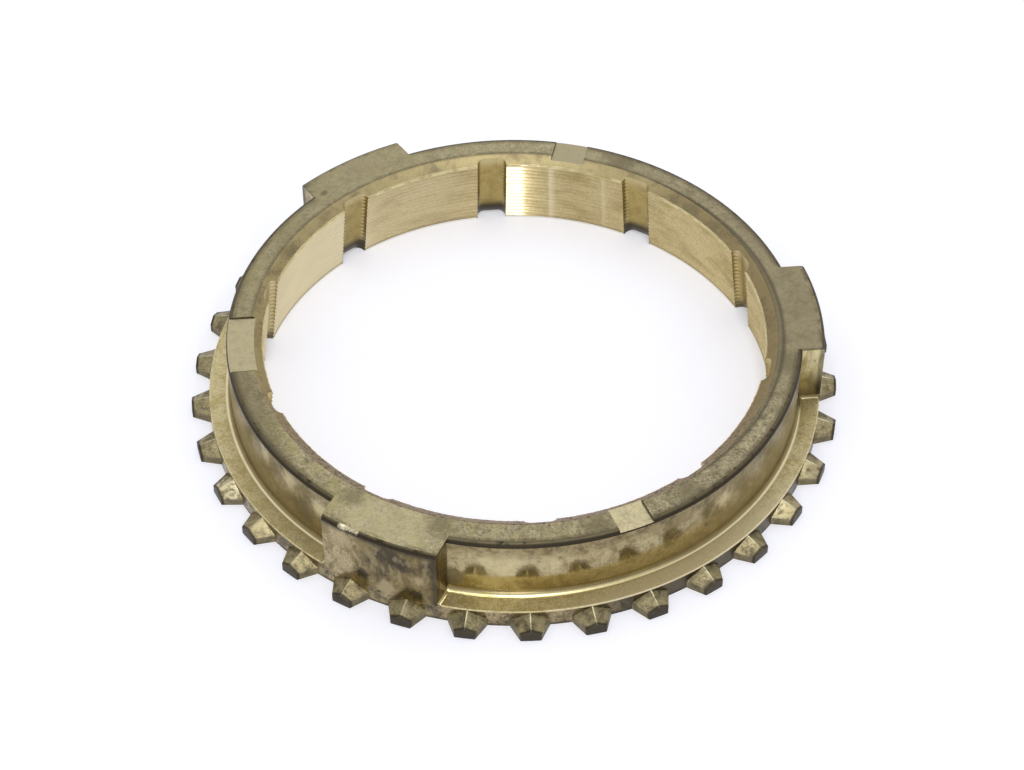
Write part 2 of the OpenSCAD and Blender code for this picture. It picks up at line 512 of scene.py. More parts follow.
def ring_mesh(s):
    """Mesh of the whole ring, with the index of its finish on every face."""
    blank = Blank(s)
    for first, last, finish in (
        ("root_foot", "shelf_lip", ROOT), ("shelf_lip", "foot", SHELF), ("foot", "foot_end", FOOT),
        ("foot_end", "rim", COLLAR), ("rim", "rim_end", RIM), ("rim_end", "mouth_edge", FACE),
        ("mouth_edge", "cone_top", MOUTH), ("cone_top", "thread_top", FOOT),
        ("thread_top", "cone_end", CONE), ("cone_end", "groove_foot", END),
    ):
        blank.band(first, last, finish)
    last_row = blank.names["groove_foot"]
    for (row, _), face in blank.cells.items():
        if row == last_row:
            face.material_index = END
    for i in range(s.tooth_count):
        shape_tooth(blank, (i + 0.5) * math.tau / s.tooth_count)
    for i in range(s.lug_count):
        shape_lug(blank, i * math.tau / s.lug_count)
    for i in range(s.groove_count):
        shape_groove(blank, (i + 0.5) * math.tau / s.groove_count)
    shape_flat(blank, math.pi, "wide", s.wide_flat_w, s.wide_flat_depth)
    for side in (-1, 1):
        shape_flat(blank, side * s.narrow_flat_at, "narrow", s.narrow_flat_w, s.narrow_flat_depth)
    ragged_mouth(blank)
    bm = blank.bm
    bmesh.ops.remove_doubles(bm, verts=bm.verts, dist=0.002 * MM)
    bmesh.ops.dissolve_degenerate(bm, dist=0.001 * MM, edges=bm.edges)
    bmesh.ops.recalc_face_normals(bm, faces=bm.faces)
    return bm


def build_ring(s):
    """Finished mesh of the ring with rounded edges and its shading."""
    bm = ring_mesh(s)
    near = 0.01 * MM
    ridge_low = s.tooth_flank_h + 0.2 * MM
    ridge_high = s.shelf_h - s.shelf_break - near
    ridges = round_edges(
        bm, s.tooth_edge, 2, lambda r, z: s.root_r - near < r and ridge_low < z < ridge_high,
        longer=s.tooth_len / 2, clamp=False)
    for face in ridges:
        face.material_index = RUBBED
    round_edges(bm, s.tooth_edge, 2, lambda r, z: r > s.root_r + s.tooth_len / 2)
    round_edges(bm, s.lug_edge, 3, lambda r, z: r > s.collar_r + near and z > s.shelf_h + near)
    mouth_r = s.cone_r(s.mouth_z) + s.mouth_w
    flat_edge = 0.05 * MM
    groove_edge = 0.16 * MM
    low = s.mouth_z + 0.05 * MM
    high = s.ring_h - near
    round_edges(bm, flat_edge, 2, lambda r, z: z > high and mouth_r < r < s.collar_r - near)
    round_edges(bm, groove_edge, 3, lambda r, z: low < z < high and r < mouth_r - near)
    bmesh.ops.recalc_face_normals(bm, faces=bm.faces)
    chip_depth = 0.06 * MM
    for turn, reach in CHIPS:
        chip(bm, on_ring(turn, CHIP_R, CHIP_Z), reach * MM, chip_depth)
    for edge in bm.edges:
        edge.smooth = len(edge.link_faces) == 2 and edge.calc_face_angle() < SHARP
    for face in bm.faces:
        face.smooth = True
    bm.verts.layers.int.remove(bm.verts.layers.int["row"])
    bm.verts.layers.int.remove(bm.verts.layers.int["col"])
    mesh = bpy.data.meshes.new("synchronizer_ring_brass")
    bm.to_mesh(mesh)
    bm.free()
    return mesh


def add(tree, kind, inputs=None, **settings):
    """Adds a shader node with its settings, and sets or links its inputs by name or number."""
    node = tree.nodes.new("ShaderNode" + kind)
    for name, value in settings.items():
        setattr(node, name, value)
    for key, value in (inputs or {}).items():
        socket = node.inputs[key]
        if isinstance(value, bpy.types.NodeSocket):
            tree.links.new(value, socket)
        elif socket.type == "RGBA":
            socket.default_value = (*value, 1)
        else:
            socket.default_value = value
    return node


def clouds(vector, size, detail):
    """Inputs of a noise whose features are about a size in millimetres."""
    scale = 1 / (size * MM)
    return {"Vector": vector, "Scale": scale, "Detail": detail, "Roughness": 0.62, "Distortion": 0.3}


class Finish:
    """Brass with cloudy stains, dark specks and a fine grain, on which a finish lays its own layers.

    Stains and specks have a size in millimetres and the noise values at which they begin and are full.
    The grain has its size, its share of the colour and its height in millimetres. gloss is the roughness
    of clean and of stained metal, and run scales the coordinates, so that stains run along a direction.
    Stains, and the highlights, reflections and shade that some finishes paint, stand where the real ring
    shows them, in millimetres and degrees.
    """

    def __init__(self, c, name, clean, stain, stains, specks, grain, gloss, metallic=1.0, run=(1, 1, 1)):
        self.material = bpy.data.materials.new(name)
        self.material.use_nodes = True
        self.tree = self.material.node_tree
        self.tree.nodes.clear()
        self.relief = None
        self.where = self.add("TexCoord").outputs["Object"]
        self.along = self.add("VectorMath", {0: self.where, 1: run}, operation="MULTIPLY").outputs[0]
        self.shader = self.add("BsdfPrincipled", {"Metallic": metallic})
        self.add("OutputMaterial", {"Surface": self.shader.outputs[0]})
        cover = self.patches(*stains, detail=7)
        self.colour = self.add("Mix", {0: cover, 6: clean, 7: stain}, data_type="RGBA").outputs[2]
        self.paint(c.soot_and_shade, 1, self.patches(*specks, detail=4))
        size, share, height = grain
        grains = self.add("TexNoise", clouds(self.where, size, 3)).outputs[0]
        limits = {"Value": grains, "From Min": 0.3, "From Max": 0.7}
        limits.update({"To Min": 1 - share, "To Max": 1 + share})
        tone = self.add("MapRange", limits, interpolation_type="SMOOTHSTEP").outputs[0]
        toned = self.add("VectorMath", {0: self.colour, "Scale": tone}, operation="SCALE")
        self.colour = toned.outputs[0]
        limits = {"Value": cover, "To Min": gloss[0], "To Max": gloss[1]}
        self.gloss = self.add("MapRange", limits, interpolation_type="SMOOTHSTEP").outputs[0]
        self.engrave(grains, height)

    def add(self, kind, inputs=None, **settings):
        return add(self.tree, kind, inputs, **settings)

    def meet(self, first, *others):
        """Mask where all of some masks meet."""
        for mask in others:
            first = self.add("Math", {0: first, 1: mask}, operation="MULTIPLY").outputs[0]
        return first

    def mask(self, value, *limits):
        """Mask that grows from none to full between each pair of limits of a value."""
        parts = []
        for start, full in limits:
            inputs = {"Value": value, "From Min": start, "From Max": full}
            parts.append(self.add("MapRange", inputs, interpolation_type="SMOOTHSTEP").outputs[0])
        return self.meet(*parts)

    def patches(self, size, low, high, detail=5):
        """Mask of cloudy patches of a size in millimetres."""
        cloud = self.add("TexNoise", clouds(self.along, size, detail))
        return self.mask(cloud.outputs[0], (low, high))

    def distance(self, way):
        """Distance from the origin in a direction."""
        return self.add("VectorMath", {0: self.where, 1: way}, operation="DOT_PRODUCT").outputs["Value"]

    def past(self, x, y, start, full):
        """Mask that grows between two distances in millimetres from the axis in a direction."""
        return self.mask(self.distance((x, y, 0)), (start * MM, full * MM))

    def above(self, start, full):
        """Mask that grows between two heights in millimetres."""
        return self.mask(self.distance((0, 0, 1)), (start * MM, full * MM))

    def between(self, value, low, high, soft):
        """Mask that is full between two values in millimetres, with soft ends."""
        rise = ((low - soft) * MM, (low + soft) * MM)
        fall = ((high + soft) * MM, (high - soft) * MM)
        return self.mask(value, rise, fall)

    def layer(self, low, high, soft):
        """Mask of a layer between two heights."""
        return self.between(self.distance((0, 0, 1)), low, high, soft)

    def radius(self, x=0, y=0):
        """Distance from an upright line at a place in millimetres."""
        flat = self.add("VectorMath", {0: self.where, 1: (1, 1, 0)}, operation="MULTIPLY")
        inputs = {0: flat.outputs[0], 1: (x * MM, y * MM, 0)}
        return self.add("VectorMath", inputs, operation="DISTANCE").outputs["Value"]

    def ring(self, low, high, soft, x=0, y=0):
        """Mask of a ring between two radii round an upright line."""
        return self.between(self.radius(x, y), low, high, soft)

    def about(self, x, y, full, end):
        """Mask round an upright line, full up to one distance in millimetres and gone at another."""
        return self.mask(self.radius(x, y), (end * MM, full * MM))

    def spot(self, turn, r, z, reach, soft):
        """Mask of a ragged round patch at an angle in degrees, a radius and a height in millimetres."""
        centre = on_ring(turn, r, z)
        apart = self.add("VectorMath", {0: self.where, 1: centre}, operation="DISTANCE")
        cloud = self.add("TexNoise", clouds(self.along, soft, 6))
        inputs = {0: cloud.outputs[0], 1: 4 * soft * MM, 2: apart.outputs["Value"]}
        ragged = self.add("Math", inputs, operation="MULTIPLY_ADD").outputs[0]
        return self.mask(ragged, ((reach + 3 * soft) * MM, (reach + soft) * MM))

    def turn(self):
        """Angle round the axis."""
        parts = self.add("SeparateXYZ", {0: self.where}).outputs
        return self.add("Math", {0: parts["Y"], 1: parts["X"]}, operation="ARCTAN2").outputs[0]

    def ripple(self, value, rate, start=0.0):
        """Even waves along a value."""
        phase = self.add("Math", {0: value, 1: rate, 2: start}, operation="MULTIPLY_ADD")
        return self.add("Math", {0: phase.outputs[0]}, operation="SINE").outputs[0]

    def paint(self, shade, share, *masks):
        """Lays a share of a colour over the finish where the masks meet."""
        inputs = {0: self.meet(*masks, share), 6: self.colour, 7: shade}
        self.colour = self.add("Mix", inputs, data_type="RGBA").outputs[2]

    def polish(self, roughness, mask):
        """Changes the roughness where a mask says."""
        inputs = {0: mask, 2: self.gloss, 3: roughness}
        self.gloss = self.add("Mix", inputs, data_type="FLOAT").outputs[0]

    def engrave(self, height, depth):
        """Adds a relief of a depth in millimetres."""
        inputs = {"Height": height, "Distance": depth * MM, "Strength": 1}
        if self.relief:
            inputs["Normal"] = self.relief
        self.relief = self.add("Bump", inputs).outputs[0]

    def tool_lines(self, value, spacing, detail, depth):
        """Adds fine tool marks along a value, drawn as coarse as they need to be to show."""
        inputs = {"W": value, "Scale": 1 / (spacing * MM), "Detail": detail}
        self.engrave(self.add("TexNoise", inputs, noise_dimensions="1D").outputs[0], depth)

    def streaked(self, amount):
        """Stretches reflections upright, across tool marks that run round the axis."""
        self.shader.inputs["Anisotropic"].default_value = amount
        upright = self.add("CombineXYZ", {"Z": 1}).outputs[0]
        self.tree.links.new(upright, self.shader.inputs["Tangent"])

    def done(self):
        """Brings the layers to the shader."""
        self.tree.links.new(self.colour, self.shader.inputs["Base Color"])
        self.tree.links.new(self.gloss, self.shader.inputs["Roughness"])
        self.tree.links.new(self.relief, self.shader.inputs["Normal"])
        return self.material


# Where the stains and the painted highlights, reflections and shade sit, in millimetres: radii of the
# collar, of the lugs' outer wall and of the teeth, and the height of the lug end face
COLLAR_R = 29.8
LUG_R = 32.1
TOOTH_R = 33
FACE_Z = 9.35
# Spacing of the threads of the cone along the axis in millimetres, which their burrs in the grooves share
THREAD_STEP = 0.546
# Chatter marks round the foot
CHATTER_COUNT = 700


def forged_face(c):
    """Forged brass, tarnished: a dull olive-grey skin with green and gold clouds and dark specks."""
    f = Finish(c, "forged brass face", c.face, c.face_grey, (1.2, 0.36, 0.78), (0.3, 0.56, 0.78),
               (0.22, 0.36, 0.02), (0.34, 0.46))
    f.paint(c.face_green, 0.6, f.past(-0.7, -0.7, 5, 34), f.patches(1.1, 0.38, 0.66))
    f.paint(c.flat, 0.4, f.about(-15.2, -26.3, 3, 7))
    f.paint(c.face, 0.6, f.past(1, 0.1, 22, 29))
    f.paint(c.face_grey, 0.38, f.past(1, 0, 22, 29))
    f.paint(c.face_grey, 0.45, f.past(1, 0, 24, 28), f.patches(1.8, 0.45, 0.7))
    f.paint(c.face, 0.25, f.past(0, 1, 12, 27))
    f.paint(c.flat, 0.12, f.past(0.1, 0.99, 14, 29))
    f.paint(c.mouth_near, 0.4, f.spot(119, 30, FACE_Z, 1.5, 1.2))
    f.paint(c.face, 0.25, f.about(-15.2, 26.3, 4, 7))
    for turn, reach in ((231, 1.1), (250, 1.3), (281, 1.4), (301, 1.6), (60, 1.5), (344, 1.5)):
        f.paint(c.face_grey, 0.7, f.spot(turn, 28.3, FACE_Z, reach, 0.9))
    for turn, r in ((-82, 28.1), (-66.5, 28.9), (-131, 27.4), (-48, 27.8), (-158, 28.4), (35, 28.2)):
        f.paint(c.soot_and_shade, 1, f.spot(turn, r, FACE_Z, 0.04, 0.12))
    for turn, r, reach in ((130, 29.2, 0.3), (129.5, 29.3, 0.25), (130.8, 31.8, 0.7), (131.6, 30.4, 0.25)):
        f.paint(c.rim, 0.9, f.spot(turn, r, FACE_Z, reach, 0.2))
    f.paint(c.face, 0.3, f.past(-0.95, 0.3, 20, 27))
    f.paint(c.face_grey, 0.3, f.past(-0.95, 0.3, 23, 28))
    f.paint(c.face_grey, 0.6, f.past(-0.96, -0.28, 26.5, 28.2))
    f.paint(c.face_grey, 0.3, f.past(0.7, 0.7, 24, 28))
    off_lugs = f.mask(f.ripple(f.turn(), 3, math.pi / 2), (0.82, 0.76))
    f.paint(c.rim, 0.4, off_lugs, f.ring(29.0, 40, 0.25))
    f.paint(c.rim, 0.5, f.ring(31.4, 40, 0.2), f.patches(1.3, 0.4, 0.6))
    f.paint(c.face_green, 0.25, f.past(-0.7, 0.7, 14, 28), f.patches(1.5, 0.35, 0.6))
    f.paint(c.face_grey, 0.15, f.past(-0.5, 0.87, 22, 28))
    f.paint(c.soot_and_shade, 0.6, f.past(0, 1, -4, 6), f.patches(1.6, 0.25, 0.5), f.ring(26.5, 27.45, 0.34))
    right = f.past(1, 0, 8, 20)
    f.paint(c.face_grey, 0.6, right, f.ring(24, 26.3, 0.05, 1.6, -0.15))
    f.paint(c.soot_and_shade, 0.75, right, f.ring(26.1, 26.35, 0.3, 1.6, -0.15))
    f.paint(c.soot_and_shade, 0.6, right, f.ring(26.5, 27.25, 0.22))
    return f


def turned_shelf(c):
    """Turned brass: a bright even gold with fine lathe circles, a few dull stains and a highlight painted
    at the front right.
    """
    f = Finish(c, "turned brass shelf", c.shelf, c.shelf_stain, (0.9, 0.4, 0.68), (0.3, 0.64, 0.8),
               (0.18, 0.2, 0.01), (0.4, 0.46))
    f.tool_lines(f.radius(), 0.1, 2, 0.012)
    f.paint(c.shelf_stain, 0.2, f.past(1, 0, -14, -28))
    # Painted highlight: paler on the front right of the shelf
    f.paint(c.cone_highlight, 0.6, f.past(0.5, -0.87, 27, 31))
    return f


def lug_side(c):
    """Broached side of a lug: brass with upright tool lines, browner towards the shelf."""
    f = Finish(c, "broached brass lug side", c.shelf, c.lug_stain, (1.2, 0.42, 0.7), (0.4, 0.6, 0.8),
               (0.14, 0.14, 0.006), (0.26, 0.36), run=(1, 1, 0.35))
    f.paint(c.face_green, 0.35, f.past(1, 0, 10, 20))
    f.paint(c.tooth_stain_and_shade, 0.95, f.above(6.2, 2.4))
    f.paint(c.lug_stain, 0.7, f.past(0, 1, -10, -18))
    f.paint(c.lug_stain, 0.8, f.past(-0.7, 0.7, 26, 30), f.patches(1.2, 0.25, 0.5))
    f.paint(c.soot_and_shade, 0.6, f.ring(31.6, 33, 0.2))
    f.paint(c.soot_and_shade, 0.75, f.layer(9.05, 10, 0.1))
    return f


def bright_foot(c):
    """Turned fillet: the cleanest brass of the ring, with short chatter marks along its upper end and a
    painted highlight line low on it.
    """
    f = Finish(c, "bright turned fillet", c.foot, c.shelf_stain, (1.5, 0.42, 0.75), (0.4, 0.72, 0.85),
               (0.12, 0.1, 0.003), (0.28, 0.36))
    # Darker over the upper part of the fillet, more so at the sides
    f.paint(c.collar_stain_and_shade, 0.8, f.layer(2.3, 4, 0.06))
    sides = f.past(-0.1, -1, 29, 24)
    f.paint(c.collar_stain_and_shade, 0.85, sides, f.layer(2.17, 4, 0.04))
    # Painted highlight: a thin bright line low on the fillet at the sides
    f.paint(c.rubbed_and_highlight, 0.8, sides, f.layer(2.105, 2.15, 0.02))
    marks = f.mask(f.ripple(f.turn(), CHATTER_COUNT), (0.1, 0.6))
    f.paint(c.soot_and_shade, 0.5, marks, f.patches(2.5, 0.42, 0.55), f.layer(2.36, 2.6, 0.03))
    return f


def burnished_collar(c):
    """Burnished brass: a glossy wall that mirrors the teeth, under brown stains and brush lines, with
    painted pale and dark reflections.
    """
    f = Finish(c, "burnished brass collar", c.collar, c.collar_stain_and_shade, (1.3, 0.42, 0.7),
               (0.35, 0.58, 0.76), (0.14, 0.12, 0.003), (0.09, 0.2))
    upright = f.add("VectorMath", {0: f.where, 1: (1, 1, 0.03)}, operation="MULTIPLY").outputs[0]
    lines = f.add("TexNoise", clouds(upright, 0.25, 2)).outputs[0]
    f.paint(c.collar_stain_and_shade, 0.35, f.mask(lines, (0.5, 0.75)))
    f.engrave(lines, 0.004)
    f.engrave(f.add("TexNoise", clouds(f.where, 3.0, 2)).outputs[0], 0.03)
    # Darker towards the shelf
    f.paint(c.collar_stain_and_shade, 0.75, f.above(6.0, 2.6))
    sides = f.past(-0.1, -1, 28, 20)
    f.paint(c.collar_stain_and_shade, 0.75, sides, f.patches(1.5, 0.3, 0.6))
    f.polish(0.32, sides)
    f.paint(c.tooth_stain_and_shade, 0.7, f.spot(-139.5, COLLAR_R, 4.6, 1.5, 0.9))
    # Painted light: pale patches on the front of the wall
    f.paint(c.foot, 0.45, f.spot(-99, COLLAR_R, 5.8, 3, 1.2))
    f.paint(c.foot, 0.35, f.spot(-88, COLLAR_R, 6.2, 1.2, 0.9))
    corner = f.spot(-107.8, COLLAR_R, 4, 1.4, 0.3)
    f.paint(c.tooth_stain_and_shade, 0.6, corner)
    f.polish(0.4, corner)
    f.paint(c.collar_stain_and_shade, 0.5, f.past(1, 0, -2, 8), f.patches(0.7, 0.44, 0.62))
    for turn, z, reach in ((-87, 7.2, 0.15), (-83, 8, 0.3), (-56, 4.6, 0.2)):
        f.paint(c.rim, 0.8, f.spot(turn, COLLAR_R, z, reach, 0.25))
    for turn, z, reach in ((-74, 6.2, 0.8), (-63.5, 7.6, 1.0)):
        f.paint(c.collar_stain_and_shade, 0.7, f.spot(turn, COLLAR_R, z, reach, 0.5))
    # Painted reflection: a dark band with dark patches along the upper part of the wall
    upper = f.above(6.6, 8.8)
    f.paint(c.collar_stain_and_shade, 0.6, upper)
    f.paint(c.rim, 0.65, upper, f.patches(0.8, 0.4, 0.7))
    # Painted reflections: pale patches high on the wall at the left front and the right front
    for turn, z, reach in ((-143.5, 7.6, 1.0), (-135.2, 6.6, 1.0), (-151.5, 7.8, 0.8), (-52, 6.6, 0.9)):
        f.paint(c.foot, 0.5, f.spot(turn, COLLAR_R, z, reach, 0.7))
    return f


def dark_rim(c):
    """Rounded forged edge, dark all round, with one fresh chip of bare brass on a lug."""
    f = Finish(c, "darkened brass edge", c.rim, c.soot_and_shade, (1.4, 0.42, 0.7), (0.4, 0.62, 0.8),
               (0.14, 0.2, 0.008), (0.5, 0.6))
    f.paint(c.face_grey, 0.6, f.layer(9.24, 10, 0.1), f.patches(0.9, 0.3, 0.5))
    for turn, reach in CHIPS:
        bare = f.spot(turn, CHIP_R, CHIP_Z, reach / 3, 0.2)
        f.paint(c.rubbed_and_highlight, 1, bare)
        f.polish(0.3, bare)
    return f


def oxidised_lug(c):
    """Oxidised brass: a pale pinkish skin that turns brown to one side, with dark and golden patches, and
    dark reflections of the teeth painted low on it.
    """
    f = Finish(c, "oxidised brass lug", c.lug, c.lug_stain, (1.3, 0.44, 0.68), (0.6, 0.58, 0.8),
               (0.24, 0.26, 0.012), (0.2, 0.34), run=(1, 1, 0.55))
    right = f.past(0.866, -0.5, -2.8, -0.2)
    f.paint(c.lug_stain, 0.95, right, f.patches(1.5, 0.2, 0.42))
    f.paint(c.soot_and_shade, 0.6, right, f.patches(0.5, 0.42, 0.72))
    for turn, z, reach in (
        (-118, 7.4, 1.44), (-115, 6.9, 1.04), (-110.6, 7.4, 0.96), (-121.5, 6.2, 0.72), (-119, 5, 0.64),
    ):
        f.paint(c.soot_and_shade, 0.85, f.spot(turn, LUG_R, z, reach, 0.8))
    f.paint(c.collar, 0.4, right, f.patches(0.7, 0.42, 0.72, 2))
    for turn, z, reach in ((-112.3, 5.0, 0.6), (-118.4, 2.8, 1.0), (-126.5, 7.4, 0.9)):
        f.paint(c.lug, 0.8, f.spot(turn, LUG_R, z, reach, 0.5))
    f.paint(c.lug_stain, 0.8, f.spot(-130.6, LUG_R, 7.8, 0.8, 0.6))
    # Painted reflection: dark spots low on the lug's wall where it mirrors the dark ends of the nearby
    # teeth
    for turn, z in ((-122.8, 3.7), (-112.8, 2.9)):
        f.paint(c.soot_and_shade, 0.8, f.spot(turn, LUG_R, z, 0.7, 0.3))
    f.paint(c.soot_and_shade, 0.75, f.layer(8.5, 10, 0.3))
    f.paint(c.soot_and_shade, 0.8, f.between(f.distance((0.866, -0.5, 0)), 5.6, 6.6, 0.3))
    return f


def blocking_tooth(c):
    """Dark teeth: olive brass under a brown patina, blackest on the tips and beside the flange, where
    contact shade is also painted; pale highlights are painted on a few roofs.
    """
    f = Finish(c, "patinated brass tooth", c.tooth, c.tooth_stain_and_shade, (0.9, 0.4, 0.72), (0.3, 0.58, 0.78),
               (0.2, 0.26, 0.01), (0.46, 0.56))
    # Painted highlights: pale patches on the roofs of a few teeth at the front, palest on one at the left
    for turn, share in ((-38.5, 0.45), (-27.5, 0.35), (-147.3, 0.2)):
        f.paint(c.shelf, share, f.spot(turn, TOOTH_R, 1.4, 1.6, 0.3), f.patches(0.5, 0.36, 0.5))
    f.paint(c.cone_highlight, 0.55, f.spot(-157.5, TOOTH_R, 1.4, 1.6, 0.3), f.patches(0.5, 0.4, 0.56))
    # Darker at the foot of the teeth: patina, with painted contact shade next to the floor
    f.paint(c.tooth_stain_and_shade, 0.7, f.layer(-1, 0.9, 0.3), f.ring(32.3, 36, 0.3))
    f.paint(c.soot_and_shade, 0.9, f.ring(33.75, 36, 0.1))
    return f


def rubbed_edge(c):
    """Bare worn brass on the ridges of the teeth, pale and nearly matt, so that it shows as a painted
    highlight from any side.
    """
    f = Finish(c, "rubbed brass edge", c.rubbed_and_highlight, c.tooth, (0.9, 0.52, 0.7), (0.3, 0.7, 0.85),
               (0.1, 0.1, 0.003), (0.35, 0.45), metallic=0.15)
    # The painted ridge highlight is dulled on the left, on two teeth at the front lug and towards the tips
    f.paint(c.tooth, 0.7, f.past(1, 0, -16, -27))
    for turn in (-125.5, -114.5):
        f.paint(c.tooth, 0.75, f.spot(turn, TOOTH_R, 1.6, 1.6, 0.2))
    f.paint(c.tooth, 0.85, f.ring(33.2, 36, 0.4))
    f.paint(c.soot_and_shade, 0.9, f.ring(33.75, 36, 0.1))
    return f


def root_wall(c):
    """Flange wall between the teeth: pinkish oxide, darker towards the right and black at its foot."""
    f = Finish(c, "oxidised flange wall", c.root, c.tooth_stain_and_shade, (1.4, 0.4, 0.66), (0.5, 0.5, 0.7),
               (0.2, 0.24, 0.008), (0.3, 0.42))
    f.paint(c.tooth_stain_and_shade, 0.85, f.past(1, 0, 2, 16))
    f.paint(c.soot_and_shade, 0.6, f.past(1, 0, 2, 8))
    # Black at the foot of the wall, next to the floor
    f.paint(c.soot_and_shade, 0.8, f.layer(-1, 0.3, 0.25))
    return f


def threaded_cone(c):
    """Finely threaded brass: a pale gold friction face, paler on the segments at the left and in upright
    streaks at the back, which are painted reflections and highlights.
    """
    f = Finish(c, "threaded brass cone", c.cone, c.cone_stain, (2.2, 0.38, 0.74), (0.3, 0.7, 0.85),
               (0.2, 0.12, 0.0002), (0.34, 0.36), run=(0.5, 0.5, 1.4))
    f.tool_lines(f.distance((0, 0, 1)), 0.2, 1, 0.03)
    f.streaked(1)
    # Painted reflection: the segment at the left back is made paler
    f.paint(c.cone_highlight, 0.85, f.past(-0.83, 0.56, 23.6, 25.5))
    # Painted highlights: upright pale streaks at the back, where the threads mirror the lamps
    for first, last, share in ((82.2, 86.8, 0.95), (75, 76.2, 0.7), (62.2, 63, 0.5)):
        begin = (math.radians(first - 0.8), math.radians(first + 0.8))
        end = (math.radians(last + 0.3), math.radians(last - 0.3))
        f.paint(c.cone_highlight, share, f.mask(f.turn(), begin, end))
    # Painted light: the left half of the cone is made a little paler
    f.paint(c.cone_highlight, 0.3, f.past(1, 0, 1, -8))
    f.paint(c.collar_stain_and_shade, 0.7, f.layer(-1, 0.35, 0.15))
    return f


def mouth_chamfer(c):
    """Turned chamfer: satin gold where the tool left it, brown where oil dried on it, and a little paler at
    the back, where a highlight is painted.
    """
    f = Finish(c, "turned brass mouth", c.mouth, c.mouth_stain, (1.6, 0.42, 0.74), (0.35, 0.62, 0.8),
               (0.13, 0.14, 0.006), (0.5, 0.55))
    # Painted highlight: a little paler at the back of the chamfer
    f.paint(c.shelf, 0.15, f.past(0, 1, 10, 24))
    f.paint(c.mouth_stain, 0.5, f.past(1, 0, 12, 24))
    for turn, reach in ((43.5, 0.7), (38.5, 0.9), (30, 0.7), (104, 0.6), (125, 0.7), (148, 0.8)):
        f.paint(c.face_grey, 0.75, f.spot(turn, 26.4, 9, reach, 0.6))
    near = f.past(-0.1, -1, 6, 20)
    f.paint(c.mouth_near, 1, near)
    f.paint(c.soot_and_shade, 0.7, near, f.patches(0.4, 0.5, 0.62))
    return f


def oil_groove(c):
    """Formed groove: dull oil-stained brass with thread burrs along its edges, a painted highlight at its
    top and painted shade at its foot.
    """
    f = Finish(c, "oil-stained brass groove", c.groove, c.groove_stain, (1.4, 0.4, 0.72),
               (0.4, 0.64, 0.82), (0.14, 0.12, 0.006), (0.3, 0.4))
    edges = f.mask(f.ripple(f.turn(), 10, math.pi / 2), (-0.91, -0.85))
    wall = f.meet(edges, f.past(0, 1, 1, 6))
    burr = f.ripple(f.distance((0, 0, 1)), math.tau / (THREAD_STEP * MM))
    # Painted highlight: paler at the upper end of the groove, where its rounded lip catches the light
    f.paint(c.shelf, 0.4, f.above(7.4, 8.9))
    f.paint(c.shelf, 0.35, f.past(-0.95, 0.31, 22, 26))
    f.paint(c.face_grey, 0.15, f.past(-0.8, 0.6, 16, 24))
    f.paint(c.cone, 0.6, wall, f.mask(burr, (-0.2, 0.8)))
    f.paint(c.collar_stain_and_shade, 0.2, wall, f.mask(burr, (-0.2, -0.9)))
    f.engrave(f.meet(wall, burr), 0.006)
    # Painted shade: black over the foot of the grooves, most on the far ones, where their flared ends face
    # the shadowed floor
    f.paint(c.soot_and_shade, 0.9, f.past(0, 1, 14, 22), f.above(2.4, 1.2))
    f.paint(c.soot_and_shade, 0.7, f.above(1.9, 0.5))
    return f


def marking_flat(c):
    """Coined flat: clean pressed brass, bare, duller on the wide one."""
    f = Finish(c, "coined brass flat", c.flat, c.face, (1.0, 0.42, 0.75), (0.4, 0.66, 0.82),
               (0.15, 0.14, 0.008), (0.32, 0.4))
    f.paint(c.face, 0.6, f.past(1, 0, -18, -26))
    f.paint(c.face, 0.9, f.past(0, 1, 10, 20))
    return f


def end_face(c):
    """Turned end face: plain gold with lathe circles."""
    f = Finish(c, "turned brass end face", c.shelf, c.shelf_stain, (2.4, 0.45, 0.7), (0.6, 0.68, 0.8),
               (0.12, 0.1, 0.004), (0.3, 0.4))
    f.tool_lines(f.radius(), 0.12, 2, 0.004)
    return f


# In the order of the finishes' numbers on the faces
FINISHES = (
    forged_face, turned_shelf, lug_side, bright_foot, burnished_collar, dark_rim, oxidised_lug,
    blocking_tooth, rubbed_edge, root_wall, threaded_cone, mouth_chamfer, oil_groove, marking_flat,
    end_face)


class MakeRing(bpy.types.Operator):
    """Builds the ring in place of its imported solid"""

    bl_idname = "synchro.make_ring"
    bl_label = "Make ring"

    def execute(self, context):
        mesh = build_ring(context.scene.synchro_sizes)
        piece = bpy.data.objects.new("synchronizer_ring_brass", mesh)
        context.scene.collection.objects.link(piece)
        for finish in FINISHES:
            mesh.materials.append(finish(context.scene.synchro_colours).done())
        smooth = piece.modifiers.new("even shading", "WEIGHTED_NORMAL")
        smooth.keep_sharp = True
        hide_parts("synchronizer_ring")
        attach(piece, "root")
        return {"FINISHED"}


def white_paper():
    """Matt white paper that the camera and reflections see as white, and that takes the shadow."""
    paper = bpy.data.materials.new("white paper sweep")
    paper.use_nodes = True
    tree = paper.node_tree
    tree.nodes.clear()
    rays = add(tree, "LightPath").outputs
    seen = rays["Is Camera Ray"]
    for ray in ("Is Glossy Ray", "Is Transmission Ray"):
        seen = add(tree, "Math", {0: seen, 1: rays[ray]}, operation="MAXIMUM").outputs[0]
    matt = add(tree, "BsdfDiffuse", {"Color": linear("#dedfea")})
    lift = add(tree, "Math", {0: seen, 1: 0.35}, operation="MULTIPLY")
    glow = add(tree, "Emission", {"Color": (1, 1, 1), "Strength": lift.outputs[0]})
    both = add(tree, "AddShader", {0: matt.outputs[0], 1: glow.outputs[0]})
    add(tree, "OutputMaterial", {"Surface": both.outputs[0]})
    return paper


